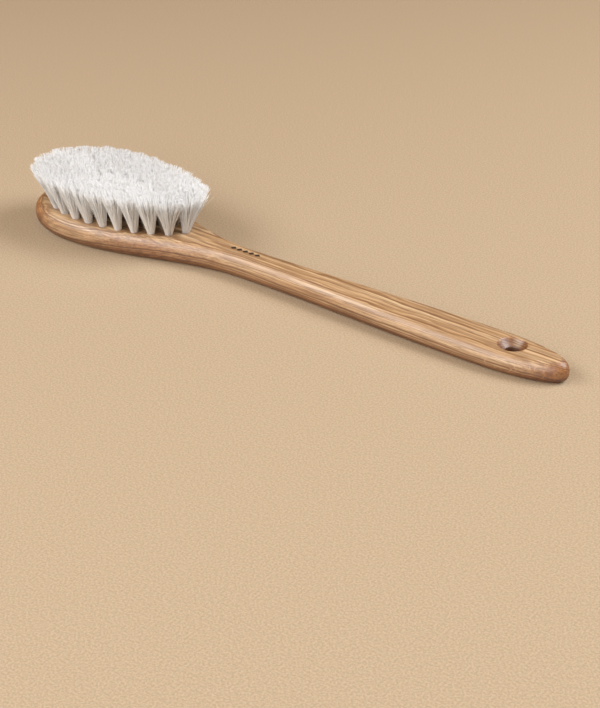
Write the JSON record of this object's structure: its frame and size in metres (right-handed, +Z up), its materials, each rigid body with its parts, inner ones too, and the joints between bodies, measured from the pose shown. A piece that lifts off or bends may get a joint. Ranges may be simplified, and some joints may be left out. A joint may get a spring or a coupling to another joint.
{
  "type": "body dry brush",
  "caption": "Long-handled dry body brush: oval oak head with drawn-in tufts of pale hair, slim neck, rounded handle and a countersunk hanging hole.",
  "frame": {"origin": "middle of the brush's footprint, on the plane that its back rests on", "axes": "+X along the brush from the head to the handle's tip, +Y across it, +Z up through the bristles"},
  "size_m": [0.4, 0.0748, 0.042],
  "materials": {
    "oak": "oiled, satin",
    "oak_lid": "oiled, satin",
    "wire": "drawn",
    "hair": "natural hair, slightly glossy"
  },
  "bodies": {
    "root": {"brush_body": "oak", "back_cover": "oak_lid", "outer_drawing_wire": "wire", "middle_drawing_wire": "wire", "inner_drawing_wire": "wire", "outer_tuft_01": "hair", "outer_tuft_02": "hair", "outer_tuft_03": "hair", "outer_tuft_04": "hair", "outer_tuft_05": "hair", "outer_tuft_06": "hair", "outer_tuft_07": "hair", "outer_tuft_08": "hair", "outer_tuft_09": "hair", "outer_tuft_10": "hair", "outer_tuft_11": "hair", "outer_tuft_12": "hair", "outer_tuft_13": "hair", "outer_tuft_14": "hair", "outer_tuft_15": "hair", "outer_tuft_16": "hair", "outer_tuft_17": "hair", "outer_tuft_18": "hair", "outer_tuft_19": "hair", "outer_tuft_20": "hair", "outer_tuft_21": "hair", "outer_tuft_22": "hair", "outer_tuft_23": "hair", "middle_tuft_01": "hair", "middle_tuft_02": "hair", "middle_tuft_03": "hair", "middle_tuft_04": "hair", "middle_tuft_05": "hair", "middle_tuft_06": "hair", "middle_tuft_07": "hair", "middle_tuft_08": "hair", "middle_tuft_09": "hair", "middle_tuft_10": "hair", "middle_tuft_11": "hair", "middle_tuft_12": "hair", "middle_tuft_13": "hair", "middle_tuft_14": "hair", "middle_tuft_15": "hair", "middle_tuft_16": "hair", "middle_tuft_17": "hair", "middle_tuft_18": "hair", "inner_tuft_01": "hair", "inner_tuft_02": "hair", "inner_tuft_03": "hair", "inner_tuft_04": "hair", "inner_tuft_05": "hair", "inner_tuft_06": "hair", "inner_tuft_07": "hair", "inner_tuft_08": "hair", "inner_tuft_09": "hair", "inner_tuft_10": "hair", "inner_tuft_11": "hair", "inner_tuft_12": "hair"}
  },
  "joints": []
}
